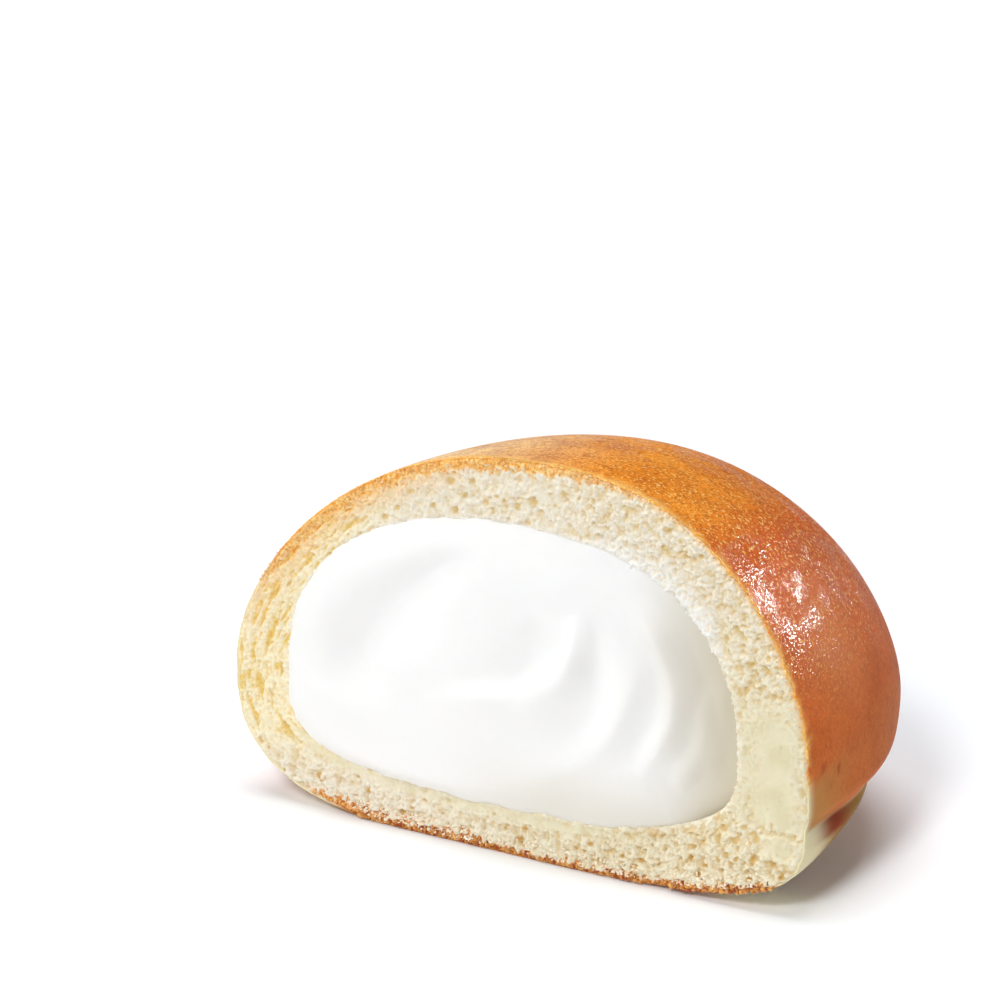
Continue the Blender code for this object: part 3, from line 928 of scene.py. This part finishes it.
# painted shade, partly crumb showing through: darker towards the thin right side and the low edge
thin_and_shade = smooth_step(15.0, 32.0, x) * smooth_step(0.50, 0.95, fill_level(x, z))
low_side_shade = smooth_step(-14.0, 8.0, x) * (1.0 - smooth_step(8.0, 19.0, z))
thin_and_shade = np.maximum(thin_and_shade, 0.45 * low_side_shade)
keep_value(cream, "thin_and_shade", np.clip(thin_and_shade, 0.0, 1.0))
cream.data.shade_smooth()
print("cream stands out", round(-points[:, 1].min(), 1), "mm")

# %% [markdown]
# ## Loose crumbs
# Where the knife broke through the crust it left grains: toasted grains and white
# flakes along the bottom, up to the right corner, golden ones along the top and a few
# up the right side. Each is a twenty-sided ball, bent out of shape by its own dice and
# half sunk in the crumb. How brown it is goes with it as a number: 0 for white, 1 for
# dark brown.

# %% Scatter the grains
GRAINS = (  # side, how many, gap to the outline, radius and brownness, each from and to
    ("bottom", 900, 0.05, 1.00, 0.10, 0.28, 0.42, 1.00),
    ("bottom", 240, 0.05, 0.45, 0.20, 0.38, 0.45, 1.00),
    ("bottom", 700, 0.70, 2.60, 0.09, 0.24, 0.00, 0.30),
    ("top", 560, 0.12, 1.30, 0.07, 0.17, 0.30, 0.62),
    ("right", 150, 0.15, 0.60, 0.07, 0.15, 0.15, 0.50),
)
lengths = np.linalg.norm(np.roll(flat, -1, axis=0) - flat, axis=1)
outline_x, outline_z = flat.T
outline_angle = np.degrees(np.arctan2(outline_z - RING_Z, outline_x - RING_X))
bottom_height = 0.4 + 3.4 * smooth_step(20.0, 36.0, outline_x)
belongs = {
    "bottom": (outline_z < bottom_height) & (outline_x > -34.0) & (outline_x < 40.5),
    "top": (outline_angle > 60.0) & (outline_angle < 165.0),
    "right": (outline_angle > 0.0) & (outline_angle < 60.0),
}
dice = random.Random(11)
bpy.ops.mesh.primitive_ico_sphere_add(subdivisions=1, radius=1.0)
seed_ball = bpy.context.object
ball_points = np.array([v.co for v in seed_ball.data.vertices])
ball_faces = [tuple(p.vertices) for p in seed_ball.data.polygons]
bpy.data.objects.remove(seed_ball)
grain_points, grain_faces, grain_bake = [], [], []
for side, number, nearest, farthest, small, big, light_end, dark_end in GRAINS:
    spots = np.flatnonzero(belongs[side])
    for index in dice.choices(list(spots), weights=list(lengths[spots]), k=number):
        radius = dice.uniform(small, big)
        gap = nearest + (farthest - nearest) * dice.random() ** 1.5
        spot = flat[index] + inward[index] * gap
        spot = spot + np.array([dice.uniform(-0.3, 0.3), 0.0])
        lump = ball_points * radius * np.array([[dice.uniform(0.7, 1.3)] for _ in ball_points])
        lump = lump * [dice.uniform(0.7, 1.5), 0.8, dice.uniform(0.7, 1.2)]
        centre = np.array([spot[0], dice.uniform(-0.16, 0.18), max(spot[1], radius * 1.6 + 0.02)])
        first = len(grain_points) * len(ball_points)
        grain_points.append(lump + centre)
        grain_faces += [tuple(first + corner for corner in face) for face in ball_faces]
        grain_bake += [dice.uniform(light_end, dark_end)] * len(ball_points)
grain_mesh = bpy.data.meshes.new("grains")
grain_mesh.from_pydata([tuple(p) for p in to_metres(np.concatenate(grain_points))], [], grain_faces)
grains = bpy.data.objects.new("grains", grain_mesh)
bpy.context.collection.objects.link(grains)
keep_value(grains, "bake", grain_bake)
print("grains:", len(grain_points), "with", len(grain_mesh.polygons), "faces")

# %% [markdown]
# ## Materials
# Crust: egg-washed milk dough, baked. Egg and sugar brown in the oven to a thin glaze,
# golden on the dome and red-brown on the flanks. It is mottled all over with brown, and
# full of golden dots where small bubbles dried out. Where the wash lies thick it is a
# clear coat in patches, and fine pimples in it break up its shine.
#
# The coordinates are metres, so a noise of scale 1000 has waves of about a millimetre:
# the clouds are 8 mm wide, the patches 4 mm, the mottling 1 mm, and the grain and the
# dots 0.4 mm, a little coarser than the real ones so that they show.

# %% Crust material
glaze = new_material("egg-washed milk dough, baked brown", "C8742F")
coords = add_node(glaze, "ShaderNodeTexCoord").outputs["Object"]
NOISES = {  # scale, detail, roughness
    "cloud": (130.0, 4.0, 0.50),
    "patches": (260.0, 3.0, 0.50),
    "mottle": (900.0, 4.0, 0.65),
    "pimples": (2000.0, 1.0, 0.50),
    "fine": (2600.0, 2.0, 0.50),
}
noises = {}
for name, (scale, detail, roughness) in NOISES.items():
    noises[name] = add_node(
        glaze, "ShaderNodeTexNoise",
        Vector=coords, Scale=scale, Detail=detail, Roughness=roughness).outputs[0]
flank = add_node(glaze, "ShaderNodeAttribute", {"attribute_name": "flank"}).outputs["Fac"]
clouded = add_node(glaze, "ShaderNodeMapRange", Value=noises["cloud"], s1=0.42, s2=0.70, s3=0.0, s4=0.5)
colour = paint(glaze, "DC5E0A", (
    ("D87032", flank),
    ("F8982E", "dome"),
    ("FFD69C", "blond"),
    ("B44C08", clouded.outputs[0]),
))
SPECKS = (  # noise scale, where it starts and ends, strength on the dome, on the flank, colour
    (900.0, 0.50, 0.66, 0.34, 0.25, "A23E0A"),
    (2600.0, 0.52, 0.60, 0.42, 0.20, "9A3C06"),
    (2400.0, 0.57, 0.64, 0.90, 0.10, "FFC46C"),
)
for scale, low, high, on_dome, on_flank, speck_colour in SPECKS:
    dots = add_node(glaze, "ShaderNodeTexNoise", Vector=coords, Scale=scale, Detail=2.0).outputs[0]
    speck = add_node(glaze, "ShaderNodeMapRange", Value=dots, s1=low, s2=high).outputs[0]
    strength = add_node(glaze, "ShaderNodeMapRange", Value=flank, s1=0.0, s2=0.6, s3=on_dome, s4=on_flank)
    share = add_node(glaze, "ShaderNodeMath", {"operation": "MULTIPLY"}, s0=speck, s1=strength.outputs[0])
    colour = paint(glaze, colour, ((speck_colour, share.outputs[0]),))
grainy = add_node(glaze, "ShaderNodeMapRange", Value=noises["fine"], s1=0.35, s2=0.65).outputs[0]
pale_dough = paint(glaze, "ECDFB4", (("A2762E", "shade"),))
edge_gold = paint(glaze, "F2A030", (("FFDA8C", grainy),))
toast_brown = paint(glaze, "8C4212", (("E09A4C", grainy),))
colour = paint(glaze, colour, (
    # painted sheen: a lighter coat below the shine
    ("ECA668", "painted_sheen"),
    ("C48A4A", "tan"),
    (pale_dough, "pale"),
    ("963A0E", "strip"),
    (edge_gold, "edge"),
    (toast_brown, "toasted"),
))

# %% [markdown]
# The skin itself is nearly matt, with a bump of a seventh of a millimetre. The clear
# coat has its own bump, so that it glints while the skin below stays soft.

# %% Crust surface
relief = add_node(glaze, "ShaderNodeMath", {"operation": "ADD"}, s0=noises["mottle"], s1=noises["fine"])
bumps = add_node(glaze, "ShaderNodeBump", Height=relief.outputs[0], Strength=0.5, Distance=0.00014)
glints = add_node(glaze, "ShaderNodeBump", Height=noises["pimples"], Strength=1.0, Distance=0.00018)
patchy = add_node(glaze, "ShaderNodeMapRange", Value=noises["patches"], s1=0.46, s2=0.58, s3=0.05, s4=1.0)
washed_at = add_node(glaze, "ShaderNodeAttribute", {"attribute_name": "washed"}).outputs["Fac"]
egg = add_node(glaze, "ShaderNodeMath", {"operation": "MULTIPLY"}, s0=patchy.outputs[0], s1=washed_at)
cover(crust, glaze, Base_Color=colour, Normal=bumps.outputs[0], Roughness=0.55, Specular_IOR_Level=0.04,
      Coat_Weight=egg.outputs[0], Coat_Normal=glints.outputs[0], Coat_Roughness=0.05)

# %% [markdown]
# Crumb: milk bread foam, knife-cut. Thin walls let light through and look nearly white,
# the pits between them are yellow, and close to the crust the dough is tinted orange.
# The flecks in the rind and the toast are 0.4 mm wide, as the foam's cells are.

# %% Crumb material
foam = new_material("milk bread crumb, knife-cut", "F0E2C0")
coords = add_node(foam, "ShaderNodeTexCoord").outputs["Object"]
fleck = add_node(foam, "ShaderNodeTexNoise", Vector=coords, Scale=2400.0, Detail=2.0).outputs[0]
light_fleck = add_node(foam, "ShaderNodeMapRange", Value=fleck, s1=0.35, s2=0.65).outputs[0]
toast_fleck = add_node(foam, "ShaderNodeMapRange", Value=fleck, s1=0.36, s2=0.60).outputs[0]
# the walls take painted shade towards the right and the bottom
walls = paint(foam, "F2E9D6", (("FBF1D6", "left"), ("F0E7CC", "shade_right_low")))
pits = paint(foam, "E2C996", (("CBA762", "low"), ("E9C566", "left")))
# pit floors: partly the crumb's own yellow, partly painted shade
shaded_pit = paint(foam, "DCBE80", (("C8963E", "low"),))
heated = paint(foam, "E99A34", (("FCDA92", light_fleck),))
toast = paint(foam, "AA581C", (("F4B468", toast_fleck),))
colour = paint(foam, walls, (
    (pits, "tone"),
    (shaded_pit, "pit_shade"),
    ("DACFA8", "wall"),
    (heated, "rind"),
    (toast, "burnt"),
    ("F6F2EA", "smear"),
))
cover(crumb, foam, Base_Color=colour, Roughness=0.7, Specular_IOR_Level=0.3, Subsurface_Weight=0.15,
      Subsurface_Radius=(1.0, 0.7, 0.4), Subsurface_Scale=0.0004)

# %% [markdown]
# Grains: torn bits of crumb and crust, white to toasted. They are dry and rough, and a
# number on each one says how far it was baked, from white over gold to brown.

# %% Grain material
crumbs = new_material("loose crumbs, white to toasted", "D9A05A")
bake = add_node(crumbs, "ShaderNodeAttribute", {"attribute_name": "bake"}).outputs["Fac"]
golden = add_node(crumbs, "ShaderNodeMapRange", Value=bake, s1=0.10, s2=0.45).outputs[0]
browner = add_node(crumbs, "ShaderNodeMapRange", Value=bake, s1=0.42, s2=0.92).outputs[0]
colour = paint(crumbs, "FBF3E0", (("F0B660", golden), ("9C4210", browner)))
cover(grains, crumbs, Base_Color=colour, Roughness=0.4)

# %% [markdown]
# Cream: whipped cream. It is a foam of fat and air, white all through, so light goes
# in a little way and comes out again, which softens every shadow on it. Where it is
# thin on the right and along its low edge it is painted darker and warmer: partly the
# crumb showing through, partly painted shade.

# %% Cream material
whipped = new_material("whipped cream", "FBFAF6")
# the marked cream is painted darker and warmer: partly crumb showing through, partly painted shade
colour = paint(whipped, "F1EEEA", (("D2C8B2", "thin_and_shade"),))
cover(cream, whipped, Base_Color=colour, Roughness=0.5, Specular_IOR_Level=0.3, Subsurface_Weight=0.4,
      Subsurface_Radius=(1.0, 0.9, 0.8), Subsurface_Scale=0.0008)

# %% [markdown]
# Last, each piece is told which body it moves with, and the solid it stands for is
# hidden. The crust, the crumb and the grains together stand for the bread.

# %% Hand the pieces over
for piece, node in ((crust, "bread"), (crumb, "bread"), (grains, "bread"), (cream, "cream")):
    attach(piece, "root")
    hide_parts(node)
